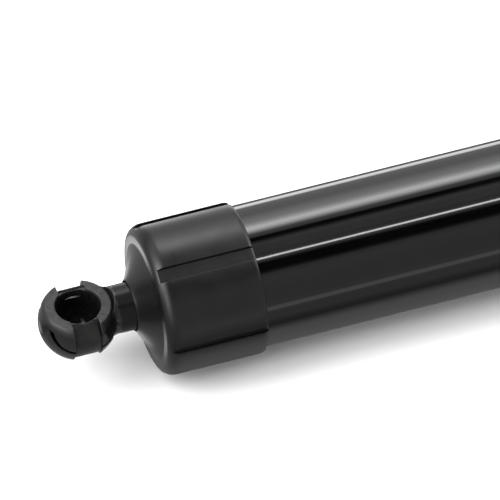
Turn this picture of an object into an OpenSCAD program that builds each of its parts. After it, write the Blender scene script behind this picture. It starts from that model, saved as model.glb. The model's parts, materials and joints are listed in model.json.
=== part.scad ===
// Telescopic tailgate strut: a gas spring and a helper coil spring inside two sliding tubes.
// Millimetres. The origin is the centre of the ball seat at the cover tube's end.
// +X runs along the strut, +Z points out of the ball seats' mouths.

/* [Stroke] */
// Travel from fully extended to fully compressed
stroke = 190; // [150:1:220]
// Length over which the two tubes still overlap when extended
tube_overlap = 75; // [60:1:90]
// Length left inside the cover tube when compressed
compression_room = 21; // [18:1:30]
// Gap between the cover tube's nose and the lower end cap when compressed
nose_room = 3.5; // [2:0.1:8]

/* [Ball socket] */
// Diameter of the ball stud that snaps in
ball_d = 10; // [9:0.5:10.5]
// Radial clearance of the ball in its seat
ball_gap = 0.05; // [0.02:0.01:0.1]
// Outer diameter of the round socket
socket_d = 19.6; // [19.2:0.1:21]
// Height of the mouth's rim above the ball's centre
mouth_h = 5.2; // [4.9:0.1:5.6]
// Width of the bevel inside the mouth
mouth_bevel = 0.7; // [0.3:0.1:1]
// Width of the bevel outside the rim
rim_bevel = 0.4; // [0.2:0.1:0.6]
// Diameter of the neck
neck_d = 12; // [11:0.1:13]
// Radius of the fillet between socket and neck
neck_fillet = 2; // [1:0.1:3]
// Depth of the curved relief slots in the cheeks
slot_depth = 0.8; // [0.4:0.1:1.2]
// Width of the curved relief slots
slot_w = 0.7; // [0.4:0.1:1]
// Radius of the curved relief slots
slot_r = 4.9; // [4.4:0.1:5.2]
// Height of the slots' centre above the ball's centre
slot_z = 3.2; // [2.8:0.1:3.6]

/* [Socket clip] */
// Width of the spring strap
strap_w = 6.5; // [5.5:0.1:7]
// Thickness of the spring strap
strap_t = 0.5; // [0.4:0.05:0.6]
// How far the strap lies below the socket's round surface
strap_sink = 0.65; // [0.4:0.05:0.8]
// Height at which the legs start to lean inwards
bend_h = 1; // [0.6:0.1:1.4]
// Height of the legs' tips
leg_h = 4.7; // [4.4:0.1:4.8]
// How far the legs' tips lean inwards
leg_lean = 2.85; // [2.6:0.05:2.9]
// Width of the retaining tabs
tab_w = 5.8; // [5:0.1:6]
// Height of the middle of the retaining tabs
tab_h = 2.45; // [2.2:0.05:2.8]
// Clearance round the strap and its tabs
strap_gap = 0.1; // [0.05:0.05:0.15]
// Clearance of the tabs' edges from the ball seat's wall
tab_gap = 0.02; // [0.01:0.01:0.1]

/* [End caps] */
// Distance from the ball's centre to the cap
cap_start = 13.5; // [13:0.1:15]
// Length of the cap's conical face
cap_nose = 4.2; // [3:0.1:5]
// Radius of the cap's shoulder
shoulder_r = 3.4; // [2.5:0.1:4]
// Length of the cap's straight sleeve
sleeve_len = 22.5; // [18:0.5:30]
// Wall of the sleeve
cap_wall = 1.25; // [1.1:0.05:2]
// Clearance of the cap round the neck
neck_gap = 0.25; // [0.1:0.05:0.4]
// Number of lengthwise grooves
groove_n = 6; // [3:1:8]
// Angle that a groove takes
groove_angle = 11; // [8:0.2:16]
// Angle of the first groove's middle, counted upwards from -Y
groove_start = 6; // [0:0.5:60]
// Depth of a groove
groove_depth = 0.8; // [0.4:0.05:0.9]
// Width and height of the bevel at the sleeve's end
sleeve_bevel = [0.65, 1.2];

/* [Tubes] */
// Outer diameter of the cover tube
cover_d = 36; // [35:0.5:40]
// Wall of the cover tube
cover_wall = 1; // [0.8:0.1:1.2]
// Wall of the housing tube
housing_wall = 1; // [0.8:0.1:1.2]
// Depth of the rolled beads that hold the end plugs
bead_depth = 0.8; // [0.5:0.1:1]
// Length of a rolled bead
bead_len = 3; // [2:0.1:4]

/* [Guides] */
// Wall of the guide bush between the two tubes
bush_t = 1.1; // [0.9:0.1:1.3]
// Length of the guide bush inside the cover tube
bush_len = 25; // [15:1:30]
// Length of the bush's nose outside the cover tube
nose_len = 3; // [2.6:0.1:5]
// Length of the wiper ring
wiper_len = 1.6; // [1:0.1:1.8]
// Depth of the wiper ring's groove in the nose
wiper_depth = 1.3; // [0.8:0.1:1.6]
// Length of the guide collar on the housing tube
collar_len = 12; // [8:1:20]
// Thickness of the collar's lip over the tube's end
collar_lip = 1.5; // [1:0.1:3]

/* [End plugs] */
// Distance from the cap's inner face to the plug
hub_len = 1.8; // [1:0.1:3]
// Thickness of the end plugs
plug_t = 11; // [8:0.5:14]
// Height of the lock nut
nut_h = 6.5; // [5:0.5:8]
// Width of the lock nut across its flats
nut_flats = 13; // [12:0.5:14]
// Radial gap round the lock nut in its pocket
nut_gap = 0.3; // [0.2:0.1:0.6]
// Depth of the threaded hole in a socket's neck
thread_len = 11.5; // [9:0.5:12]

/* [Gas spring] */
// Outer diameter of the pressure tube
tube_d = 18; // [17:0.5:20]
// Wall of the pressure tube
tube_wall = 1.25; // [1:0.05:1.4]
// Diameter of the piston rod
rod_d = 8; // [7:0.5:8.5]
// Diameter of the rod's spigot that carries the piston
spigot_d = 6; // [5:0.5:6]
// Thickness of the pressure tube's base
base_t = 6; // [4:0.5:8]
// Thickness of the tube's rolled lip
lip_t = 1.5; // [1:0.1:2]
// How far the rolled lip reaches inwards past the tube's wall
lip_w = 1.25; // [0.8:0.05:1.6]
// Length of the rod guide
rod_guide_len = 12; // [8:0.5:16]
// Length of the rod seal
seal_len = 5; // [4:0.5:6]
// Thickness of the washer behind the seal
backing_t = 1.5; // [1:0.1:2]
// Radial clearance of the washer round the rod
backing_gap = 0.2; // [0.1:0.05:0.5]
// Thickness of the snap ring
snap_t = 1.4; // [1:0.1:2]
// Depth of the snap ring's groove
snap_depth = 0.4; // [0.3:0.05:0.5]
// Length of the extension bumper
bumper_len = 4; // [3:0.5:6]
// Thickness of the piston
piston_t = 10; // [8:0.5:14]
// Width of the piston ring
ring_w = 3; // [2:0.5:4]
// Thickness of the valve disc
valve_t = 0.5; // [0.3:0.1:0.8]
// Diameter of the valve disc
valve_d = 13; // [11:0.5:13.5]
// Thickness of the washer behind the valve disc
washer_t = 1.5; // [1:0.1:2]
// Diameter of the washer behind the valve disc
washer_d = 10.5; // [9:0.5:12]
// Height of the piston nut
piston_nut_h = 5; // [4:0.5:6]
// Width of the piston nut across its flats
piston_nut_flats = 10; // [9:0.5:11]

/* [Helper spring] */
// Diameter of the spring's wire
wire_d = 3; // [2.6:0.1:3.2]
// Number of turns
turns = 32; // [26:1:38]
// Radial gap between the spring and the housing tube
spring_gap = 0.6; // [0.5:0.1:1]
// Pitch of the closed turns at each end
closed_pitch = 3.6; // [3.5:0.1:4]
// Thickness of the upper seat and the lower seat
seat_t = 3; // [2:0.5:5]
// Length of the upper seat's spigot inside the spring
seat_spigot = 5; // [3:0.5:8]
// Wall of the upper seat's spigot
spigot_wall = 2.5; // [2:0.1:3]

/* [Fits] */
// Radial clearance of sliding and turning fits
run_gap = 0.05; // [0.03:0.01:0.09]
// Radial clearance of fixed fits
fix_gap = 0.05; // [0.02:0.01:0.1]
// Gap between the lower spring seat and the plug that turns under it
slip_gap = 0.1; // [0.05:0.05:0.3]

/* [Hidden] */

// How finely round surfaces are drawn, and how many steps a small arc takes
round_fn = 96;
arc_steps = 8;
// A margin that lets a cutting shape run past the surface it cuts
past = 1;

// Radii
seat_r = ball_d / 2 + ball_gap;
socket_r = socket_d / 2;
neck_r = neck_d / 2;
cover_r = cover_d / 2;
cover_ir = cover_r - cover_wall;
housing_r = cover_ir - fix_gap - bush_t - run_gap;
housing_ir = housing_r - housing_wall;
tube_r = tube_d / 2;
tube_ir = tube_r - tube_wall;
rod_r = rod_d / 2;
spigot_r = spigot_d / 2;
wire_r = wire_d / 2;
spring_r = housing_ir - spring_gap - wire_r;

// Places along the strut, from the ball centre of the end that they belong to
sleeve_start = cap_start + cap_nose + shoulder_r;
cap_end = sleeve_start + sleeve_len;
plug_start = sleeve_start + hub_len;
plug_end = plug_start + plug_t;

// Places along the strut, from the origin
inner_end = plug_end + stroke + compression_room;
cover_end = inner_end + tube_overlap;
nose_end = cover_end + nose_len;
ball_span = nose_end + nose_room + stroke + cap_end;
base_end = ball_span - plug_end;

// The gas spring's stack, from the open end of its tube
rod_guide_start = inner_end + lip_t;
seal_start = rod_guide_start + rod_guide_len;
backing_start = seal_start + seal_len;
snap_start = backing_start + backing_t;
bumper_start = snap_start + snap_t;
piston_start = bumper_start + bumper_len;
valve_start = piston_start + piston_t;
washer_start = valve_start + valve_t;
piston_nut_start = washer_start + washer_t;
rod_end = piston_nut_start + piston_nut_h;

// The spring's two seats
spring_start = plug_end + seat_t;
spring_end = base_end - slip_gap - seat_t;

// Points on an arc round [r, x], from angle a to angle b
function arc(r, x, radius, a, b, steps = arc_steps) =
    [for (i = [0:steps]) let (t = a + (b - a) * i / steps) [r + radius * cos(t), x + radius * sin(t)]];

// A solid turned about the strut's axis from [radius, place along X] points
module turned(outline) {
    rotate([0, 90, 0]) rotate_extrude($fn = round_fn) polygon(outline);
}

// A plain ring between two places on the strut's axis
module ring(inner, outer, from, to) {
    turned([[inner, from], [outer, from], [outer, to], [inner, to]]);
}

// A round bar along the strut's axis
module bar(radius, from, to) {
    translate([from, 0, 0]) rotate([0, 90, 0]) cylinder(r = radius, h = to - from, $fn = round_fn);
}

// Turns what is modelled at the upper end round to the lower end
module at_lower_end() {
    translate([ball_span, 0, 0]) rotate([0, 0, 180]) children();
}

// Extrudes an outline drawn in [towards the back, up] across the strut's axis, centred
module across(width) {
    rotate([90, 0, 90]) linear_extrude(height = width, center = true) children();
}

// The strap's path: its outside is the outline at depth 0, its inside the one at depth strap_t
strap_r = socket_r - strap_sink;
lean = atan(leg_lean / (leg_h - bend_h));
function leg_y(z, depth) = strap_r - depth / cos(lean) - (z - bend_h) * tan(lean);
function strap_side(depth, top) = [[leg_y(top, depth), top], [strap_r - depth, bend_h - depth * tan(lean / 2)]];
function strap_outline(depth, top) = concat(
    strap_side(depth, top),
    arc(0, 0, strap_r - depth, 0, -180, 4 * arc_steps),
    [for (p = [1, 0]) let (q = strap_side(depth, top)[p]) [-q[0], q[1]]]
);

// Ball sockets

// The ball seat's cavity: a straight wall from the ball's equator to the mouth, over a round floor
module ball_cavity() {
    rotate_extrude($fn = round_fn)
        polygon(concat(
            arc(0, 0, seat_r, -90, 0),
            [
                [seat_r, mouth_h - mouth_bevel],
                [seat_r + mouth_bevel + past, mouth_h + past],
                [0, mouth_h + past]
            ]
        ));
}

// Everything above the rim, with the rim's outer bevel
rim_r = sqrt(socket_r * socket_r - mouth_h * mouth_h);
module above_rim() {
    rotate_extrude($fn = round_fn)
        polygon([
            [0, mouth_h],
            [rim_r - rim_bevel, mouth_h],
            [rim_r + rim_bevel, mouth_h - 2 * rim_bevel],
            [socket_r + past, mouth_h - 2 * rim_bevel],
            [socket_r + past, socket_r + past],
            [0, socket_r + past]
        ]);
}

// The channel that the strap lies in, right round the socket
module strap_channel() {
    depth = strap_t + strap_gap;
    reach = socket_r + past;
    across(strap_w + 2 * strap_gap)
        difference() {
            square(2 * reach, center = true);
            polygon(strap_outline(depth, leg_h + strap_gap));
        }
}

// The windows through which the strap's tabs reach the ball
module tab_windows() {
    height = strap_t + 2 * strap_gap;
    translate([0, 0, tab_h])
        cube([tab_w + 2 * strap_gap, 2 * strap_r, height], center = true);
}

// The neck's fillet starts a little inside the round socket. The slots end short of that place
neck_sink = 0.05;
fillet_r = neck_r + neck_fillet;
fillet_far = socket_r + neck_fillet - neck_sink;
fillet_x = sqrt(pow(fillet_far, 2) - pow(fillet_r, 2));
neck_place = fillet_x * (1 - neck_fillet / fillet_far);

// A pair of curved relief slots beside the channel, out to a given distance from the ball's centre
module cheek_slots(to) {
    edge = strap_w / 2 + strap_gap;
    reach = socket_r + past;
    intersection() {
        difference() {
            translate([-edge, 0, slot_z])
                rotate([90, 0, 0]) cylinder(r = slot_r + slot_w / 2, h = 2 * reach, center = true, $fn = round_fn);
            translate([-edge, 0, slot_z])
                rotate([90, 0, 0]) cylinder(r = slot_r - slot_w / 2, h = 3 * reach, center = true, $fn = round_fn);
            sphere(r = socket_r - slot_depth, $fn = round_fn);
        }
        translate([-to, -reach, -reach]) cube([to - edge, 2 * reach, 2 * reach]);
    }
}

// The neck, with its fillet, from inside the round socket to the end plug
module neck() {
    fillet_angle = atan2(-fillet_x, -fillet_r);
    turned(concat(
        [[0, 0], [socket_r / 2, 0]],
        arc(fillet_r, fillet_x, neck_fillet, fillet_angle, -180),
        [[neck_r, plug_start], [0, plug_start]]
    ));
}

module ball_socket() {
    difference() {
        union() {
            sphere(r = socket_r, $fn = round_fn);
            neck();
        }
        ball_cavity();
        above_rim();
        strap_channel();
        tab_windows();
        cheek_slots(socket_r + past);
        mirror([1, 0, 0]) cheek_slots(neck_place - rim_bevel);
        bar(rod_r + fix_gap, plug_start - thread_len, plug_start + past);
    }
}

module upper_ball_socket() {
    color([0.09, 0.09, 0.09]) ball_socket();
}

module lower_ball_socket() {
    color([0.09, 0.09, 0.09]) at_lower_end() ball_socket();
}

// Socket clips

module socket_clip() {
    across(strap_w)
        difference() {
            polygon(strap_outline(0, leg_h));
            polygon(concat(
                [[leg_y(leg_h + past, strap_t), leg_h + past]],
                strap_outline(strap_t, leg_h),
                [[-leg_y(leg_h + past, strap_t), leg_h + past]]
            ));
        }
    for (side = [-1, 1])
        translate([0, side * (seat_r + tab_gap), tab_h]) tab(side);
}

// A tab from the leg to the ball, level, with its edge flush with the ball's seat
module tab(side) {
    tab_len = leg_y(tab_h, strap_t / 2) - seat_r;
    translate([-tab_w / 2, side > 0 ? 0 : -tab_len, -strap_t / 2]) cube([tab_w, tab_len, strap_t]);
}

module upper_socket_clip() {
    color([0.13, 0.13, 0.13]) socket_clip();
}

module lower_socket_clip() {
    color([0.13, 0.13, 0.13]) at_lower_end() socket_clip();
}

// End caps

// The cap's conical face, hollow towards the neck, from the neck's hole to the shoulder
face_steps = 6;
face_power = 0.8;
function cap_face(hole_r, edge_r) = [
    for (i = [0:face_steps])
        let (t = i / face_steps)
        [hole_r + (edge_r - hole_r) * t, cap_start + cap_nose * pow(t, face_power)]
];

// The cap's wall behind its face
face_wall = 2;

module end_cap(sleeve_ir) {
    sleeve_r = sleeve_ir + cap_wall;
    hole_r = neck_r + neck_gap;
    hub_r = hole_r + face_wall;
    edge_r = sleeve_r - shoulder_r;
    difference() {
        turned(concat(
            cap_face(hole_r, edge_r),
            arc(edge_r, sleeve_start, shoulder_r, -90, 0),
            [
                [sleeve_r, cap_end - sleeve_bevel[1]],
                [sleeve_r - sleeve_bevel[0], cap_end],
                [sleeve_ir, cap_end],
                [sleeve_ir, sleeve_start],
                [edge_r, sleeve_start],
                [edge_r - face_wall, cap_start + cap_nose + face_wall],
                [hub_r, cap_start + cap_nose / 2 + face_wall],
                [hub_r, plug_start],
                [hole_r, plug_start]
            ]
        ));
        for (i = [0:groove_n - 1])
            rotate([0, 90, 0])
                rotate([0, 0, 270 - groove_start - i * 360 / groove_n - groove_angle / 2])
                    rotate_extrude(angle = groove_angle, $fn = round_fn)
                        groove_section(sleeve_r);
    }
}

// A groove's section: its floor is straight and runs out on the shoulder
module groove_section(sleeve_r) {
    translate([sleeve_r - groove_depth, cap_start])
        square([groove_depth + past, cap_end - cap_start + past]);
}

module upper_end_cap() {
    color([0.16, 0.16, 0.16]) end_cap(cover_r + fix_gap);
}

module lower_end_cap() {
    color([0.16, 0.16, 0.16]) at_lower_end() end_cap(housing_r + fix_gap);
}

// Tubes

// The bead's middle, from the ball's centre
bead_mid = plug_start + plug_t / 2;

// A tube that starts inside the end cap, with a rolled bead that bites into the end plug
module rolled_tube(inner, outer, to) {
    half = bead_len / 2;
    turned([
        [inner, sleeve_start],
        [outer, sleeve_start],
        [outer, bead_mid - half],
        [outer - bead_depth, bead_mid - half / 2],
        [outer - bead_depth, bead_mid + half / 2],
        [outer, bead_mid + half],
        [outer, to],
        [inner, to],
        [inner, bead_mid + half],
        [inner - bead_depth, bead_mid + half / 2],
        [inner - bead_depth, bead_mid - half / 2],
        [inner, bead_mid - half]
    ]);
}

// A steel plug in a tube's end, grooved for the bead, with a clearance hole
module end_plug(tube_inner) {
    half = bead_len / 2;
    outer = tube_inner - fix_gap;
    turned([
        [rod_r + fix_gap, plug_start],
        [outer, plug_start],
        [outer, bead_mid - half],
        [outer - bead_depth, bead_mid - half / 2],
        [outer - bead_depth, bead_mid + half / 2],
        [outer, bead_mid + half],
        [outer, plug_end],
        [rod_r + fix_gap, plug_end]
    ]);
}

module cover_tube() {
    color([0.03, 0.03, 0.03]) rolled_tube(cover_ir, cover_r, cover_end);
}

module housing_tube() {
    color([0.03, 0.03, 0.03]) at_lower_end() rolled_tube(housing_ir, housing_r, ball_span - inner_end);
}

// The upper plug has a round pocket for the lock nut
module upper_end_plug() {
    color([0.55, 0.56, 0.58])
        difference() {
            end_plug(cover_ir);
            bar(nut_flats / sqrt(3) + nut_gap, plug_end - nut_h, plug_end + past);
        }
}

module lower_end_plug() {
    color([0.55, 0.56, 0.58]) at_lower_end() end_plug(housing_ir);
}

// Guides between the tubes

// A bush in the cover tube's mouth, with a nose as wide as the tube and a groove for the wiper
module cover_guide_bush() {
    mid = cover_end + nose_len / 2;
    bush_r = housing_r + run_gap;
    color([0.12, 0.12, 0.12])
        turned([
            [bush_r, cover_end - bush_len],
            [bush_r + bush_t, cover_end - bush_len],
            [bush_r + bush_t, cover_end],
            [cover_r, cover_end],
            [cover_r, nose_end - rim_bevel],
            [cover_r - rim_bevel, nose_end],
            [bush_r, nose_end],
            [bush_r, mid + wiper_len / 2],
            [bush_r + wiper_depth, mid + wiper_len / 2],
            [bush_r + wiper_depth, mid - wiper_len / 2],
            [bush_r, mid - wiper_len / 2]
        ]);
}

// A rubber ring in the nose's groove, whose lip rubs on the housing tube
module cover_wiper_ring() {
    mid = cover_end + nose_len / 2;
    color([0.02, 0.02, 0.02])
        turned([
            [housing_r + run_gap / 2, mid],
            [housing_r + run_gap + wiper_depth / 3, mid - wiper_len / 2],
            [housing_r + run_gap + wiper_depth - fix_gap, mid - wiper_len / 2],
            [housing_r + run_gap + wiper_depth - fix_gap, mid + wiper_len / 2],
            [housing_r + run_gap + wiper_depth / 3, mid + wiper_len / 2]
        ]);
}

// A collar on the housing tube's inner end, which runs inside the cover tube
module housing_guide_collar() {
    color([0.75, 0.74, 0.7])
        turned([
            [housing_ir, inner_end - collar_lip],
            [cover_ir - run_gap, inner_end - collar_lip],
            [cover_ir - run_gap, inner_end + collar_len],
            [housing_r + fix_gap, inner_end + collar_len],
            [housing_r + fix_gap, inner_end],
            [housing_ir, inner_end]
        ]);
}

// Helper spring and its seats

// How far along the spring a point lies after t turns: closed turns at the ends, open ones between
spring_len = spring_end - spring_start - wire_d - 2 * fix_gap;
closed_turns = 1;
blend_turns = 0.5;
open_pitch = (spring_len - closed_pitch * (2 * closed_turns + blend_turns))
    / (turns - 2 * closed_turns - blend_turns);
function half_way(t) =
    t < closed_turns ? closed_pitch * t
    : t < closed_turns + blend_turns
        ? let (u = t - closed_turns)
            closed_pitch * t + (open_pitch - closed_pitch) * u * u / (2 * blend_turns)
    : closed_pitch * (closed_turns + blend_turns / 2) + open_pitch * (t - closed_turns - blend_turns / 2);
function along_spring(t) = t < turns / 2 ? half_way(t) : spring_len - half_way(turns - t);

ring_sides = 6;
rings_per_turn = 10;
ring_n = turns * rings_per_turn;
spring_rings = [
    for (i = [0:ring_n])
        let (t = i / rings_per_turn, a = 360 * t)
        [
            for (k = [0:ring_sides - 1])
                let (s = 360 * (k + 0.5) / ring_sides, r = spring_r + wire_r * cos(s))
                [spring_start + fix_gap + wire_r + along_spring(t) + wire_r * sin(s), r * cos(a), r * sin(a)]
        ]
];
spring_points = [for (ring = spring_rings) each ring];
spring_faces = concat(
    [for (k = [1:ring_sides - 2]) [0, k, k + 1]],
    [
        for (i = [0:ring_n - 1], k = [0:ring_sides - 1])
            let (
                a = i * ring_sides + k,
                b = i * ring_sides + (k + 1) % ring_sides,
                c = a + ring_sides,
                d = b + ring_sides
            )
            each [[a, c, b], [b, c, d]]
    ],
    [for (k = [1:ring_sides - 2]) let (e = ring_n * ring_sides) [e, e + k + 1, e + k]]
);

// The least gap between neighbouring turns, measured on the points of facing rings
least_gap = min([
    for (i = [0:ring_n - rings_per_turn])
        min([for (p = spring_rings[i + rings_per_turn]) p[0]]) - max([for (p = spring_rings[i]) p[0]])
]);
echo(least_gap_between_turns = least_gap);

module helper_spring() {
    color([0.3, 0.31, 0.33]) polyhedron(points = spring_points, faces = spring_faces, convexity = 10);
}

// The upper seat stands on the end plug, with a spigot inside the spring
module upper_spring_seat() {
    seat_or = spring_r + wire_r;
    spigot_or = spring_r - wire_r - spring_gap;
    seat_ir = spigot_or - spigot_wall;
    color([0.2, 0.2, 0.2])
        turned([
            [seat_ir, plug_end],
            [seat_or, plug_end],
            [seat_or, plug_end + seat_t],
            [spigot_or, plug_end + seat_t],
            [spigot_or, plug_end + seat_t + seat_spigot],
            [seat_ir, plug_end + seat_t + seat_spigot]
        ]);
}

// The lower seat is a washer that slips on the lower plug, so the spring need not turn with it
module lower_spring_seat() {
    color([0.75, 0.74, 0.7])
        ring(tube_r + run_gap, spring_r + wire_r, base_end - slip_gap - seat_t, base_end - slip_gap);
}

// Gas spring

module piston_rod() {
    color([0.78, 0.79, 0.8]) {
        bar(rod_r, plug_start - thread_len + slip_gap, piston_start);
        bar(spigot_r, piston_start, rod_end);
    }
}

module rod_lock_nut() {
    nut([nut_flats, nut_h, rod_r], plug_end - nut_h);
}

module piston_nut() {
    nut([piston_nut_flats, piston_nut_h, spigot_r], piston_nut_start);
}

// A hexagon nut given as [width across flats, height, bore radius]
module nut(size, from) {
    color([0.6, 0.6, 0.62])
        difference() {
            translate([from, 0, 0]) rotate([0, 90, 0]) cylinder(d = size[0] / cos(30), h = size[1], $fn = 6);
            bar(size[2] + fix_gap, from - past, from + size[1] + past);
        }
}

// The pressure tube, rolled inwards at its open end and grooved inside for the snap ring
module pressure_tube() {
    lip_r = tube_ir - lip_w;
    color([0.06, 0.06, 0.06])
        turned([
            [lip_r, inner_end],
            [tube_r - rim_bevel, inner_end],
            [tube_r, inner_end + rim_bevel],
            [tube_r, base_end],
            [tube_ir, base_end],
            [tube_ir, snap_start + snap_t],
            [tube_ir + snap_depth, snap_start + snap_t],
            [tube_ir + snap_depth, snap_start],
            [tube_ir, snap_start],
            [tube_ir, rod_guide_start],
            [lip_r, rod_guide_start]
        ]);
}

// The base closes the tube, and its stud goes through the lower plug into the lower socket
module pressure_tube_base() {
    color([0.55, 0.56, 0.58]) {
        bar(tube_ir - fix_gap, base_end - base_t, base_end);
        bar(rod_r, base_end, base_end + plug_t + thread_len - slip_gap);
    }
}

module rod_guide() {
    groove = tube_wall / 2;
    mid = rod_guide_start + rod_guide_len / 2;
    outer = tube_ir - fix_gap;
    color([0.75, 0.66, 0.4])
        turned([
            [rod_r + run_gap, rod_guide_start],
            [outer, rod_guide_start],
            [outer, mid - groove],
            [outer - groove, mid - groove],
            [outer - groove, mid + groove],
            [outer, mid + groove],
            [outer, seal_start],
            [rod_r + run_gap, seal_start]
        ]);
}

// A lip seal: its hollow back faces the gas
module rod_seal() {
    lip = rod_r + run_gap / 2;
    outer = tube_ir - fix_gap;
    color([0.03, 0.03, 0.03])
        turned([
            [lip, seal_start],
            [outer, seal_start],
            [outer, backing_start],
            [outer - (outer - lip) / 3, backing_start],
            [(outer + lip) / 2, seal_start + seal_len / 2],
            [lip + (outer - lip) / 3, backing_start],
            [lip, backing_start]
        ]);
}

module seal_backing_ring() {
    color([0.6, 0.6, 0.62]) ring(rod_r + backing_gap, tube_ir - fix_gap, backing_start, snap_start);
}

// An open ring sprung into the pressure tube's groove
module guide_snap_ring() {
    outer = tube_ir + snap_depth - fix_gap;
    open_w = 3 * snap_t;
    color([0.45, 0.46, 0.48])
        difference() {
            ring(tube_ir - snap_t, outer, snap_start, bumper_start);
            translate([snap_start - past, -open_w / 2, 0]) cube([snap_t + 2 * past, open_w, tube_r]);
        }
}

module rebound_bumper() {
    color([0.03, 0.03, 0.03]) ring(rod_r + fix_gap, tube_ir - snap_t - run_gap, bumper_start, piston_start);
}

module piston() {
    outer = tube_ir - run_gap;
    groove_r = outer - ring_w / 2;
    mid = piston_start + piston_t / 2;
    color([0.5, 0.5, 0.52])
        turned([
            [spigot_r + fix_gap, piston_start],
            [outer, piston_start],
            [outer, mid - ring_w / 2],
            [groove_r, mid - ring_w / 2],
            [groove_r, mid + ring_w / 2],
            [outer, mid + ring_w / 2],
            [outer, valve_start],
            [spigot_r + fix_gap, valve_start]
        ]);
}

module piston_ring() {
    outer = tube_ir - run_gap / 2;
    groove_r = tube_ir - run_gap - ring_w / 2;
    mid = piston_start + piston_t / 2;
    color([0.04, 0.04, 0.04]) ring(groove_r + fix_gap, outer, mid - ring_w / 2 + fix_gap, mid + ring_w / 2 - fix_gap);
}

module valve_disc() {
    color([0.7, 0.7, 0.72]) ring(spigot_r + fix_gap, valve_d / 2, valve_start, washer_start);
}

module support_washer() {
    color([0.6, 0.6, 0.62]) ring(spigot_r + fix_gap, washer_d / 2, washer_start, piston_nut_start);
}

upper_ball_socket();
upper_socket_clip();
upper_end_cap();
upper_end_plug();
cover_tube();
rod_lock_nut();
upper_spring_seat();
helper_spring();
piston_rod();
rebound_bumper();
piston();
piston_ring();
valve_disc();
support_washer();
piston_nut();
cover_guide_bush();
cover_wiper_ring();
lower_spring_seat();
housing_tube();
housing_guide_collar();
lower_end_plug();
lower_end_cap();
lower_ball_socket();
lower_socket_clip();
pressure_tube();
pressure_tube_base();
rod_guide();
rod_seal();
seal_backing_ring();
guide_snap_ring();
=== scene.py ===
"""Telescopic tailgate strut: looks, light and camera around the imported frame.

Sizes are millimetres in the piece builders and metres in Blender. The strut lies along +X, and the
ball seats open towards +Z.
"""

import json
import math

import bmesh
import bpy
import numpy as np
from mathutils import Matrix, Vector

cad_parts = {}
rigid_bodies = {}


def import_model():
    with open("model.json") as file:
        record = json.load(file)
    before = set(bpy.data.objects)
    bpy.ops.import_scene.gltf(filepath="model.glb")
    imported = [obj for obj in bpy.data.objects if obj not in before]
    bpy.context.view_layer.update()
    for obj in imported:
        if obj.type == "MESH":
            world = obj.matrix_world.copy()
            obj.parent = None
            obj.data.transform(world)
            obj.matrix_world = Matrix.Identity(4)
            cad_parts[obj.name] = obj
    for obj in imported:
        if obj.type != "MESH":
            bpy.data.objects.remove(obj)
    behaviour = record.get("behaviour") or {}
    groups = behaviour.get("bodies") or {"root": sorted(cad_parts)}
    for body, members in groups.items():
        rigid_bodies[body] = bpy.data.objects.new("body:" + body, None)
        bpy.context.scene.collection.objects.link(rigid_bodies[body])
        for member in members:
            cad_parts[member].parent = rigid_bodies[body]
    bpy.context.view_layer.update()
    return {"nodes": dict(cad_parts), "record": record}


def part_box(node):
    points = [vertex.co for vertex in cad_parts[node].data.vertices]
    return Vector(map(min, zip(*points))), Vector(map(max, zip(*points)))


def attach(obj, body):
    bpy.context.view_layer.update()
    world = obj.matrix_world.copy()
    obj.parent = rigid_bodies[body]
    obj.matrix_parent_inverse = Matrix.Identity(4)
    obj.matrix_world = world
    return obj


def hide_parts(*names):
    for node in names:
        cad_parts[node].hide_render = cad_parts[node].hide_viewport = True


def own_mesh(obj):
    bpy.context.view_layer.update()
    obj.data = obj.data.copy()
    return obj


for old in list(bpy.data.objects):
    bpy.data.objects.remove(old, do_unlink=True)

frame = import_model()

MM = 0.001


def place(node):
    """A node's lowest and highest corner in millimetres."""
    low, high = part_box(node)
    return [v / MM for v in low], [v / MM for v in high]


# Sizes that the frame gives
COVER_R = place("cover_tube")[1][2]
COVER_START, COVER_END = place("cover_tube")[0][0], place("cover_tube")[1][0]
HOUSING_R = place("housing_tube")[1][2]
INNER_END, HOUSING_END = place("housing_tube")[0][0], place("housing_tube")[1][0]
CAP_START, CAP_END = place("upper_end_cap")[0][0], place("upper_end_cap")[1][0]
NECK_END = place("upper_ball_socket")[1][0]
NOSE_END = place("cover_guide_bush")[1][0]
FLOOR_Z = min(place(node)[0][2] for node in ("upper_end_cap", "lower_end_cap"))
SPRING_LOW, SPRING_HIGH = place("helper_spring")
# Between the two balls' centres: the tubes start as far from one as they end from the other
SPAN = COVER_START + HOUSING_END

# The name and body of each end
BOTH_ENDS = (("upper", "cover_end"), ("lower", "housing_end"))


# Meshes

def mesh_object(name, points, faces, body, replaces, material, angle=35):
    """A mesh in millimetres, smooth apart from edges sharper than angle, riding on a body."""
    mesh = bpy.data.meshes.new(name)
    mesh.from_pydata([tuple(p) for p in np.asarray(points) * MM], [], faces)
    mesh.validate()
    mesh.update()
    mesh.shade_smooth()
    mesh.set_sharp_from_angle(angle=math.radians(angle))
    obj = bpy.data.objects.new(name, mesh)
    bpy.context.scene.collection.objects.link(obj)
    mesh.materials.append(material)
    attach(obj, body)
    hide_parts(*replaces)
    return obj


# A corner stays where half its angle is above this, and an arc takes at most this share of a side
STRAIGHT_HALF, SIDE_SHARE = math.radians(87), 0.45


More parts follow.
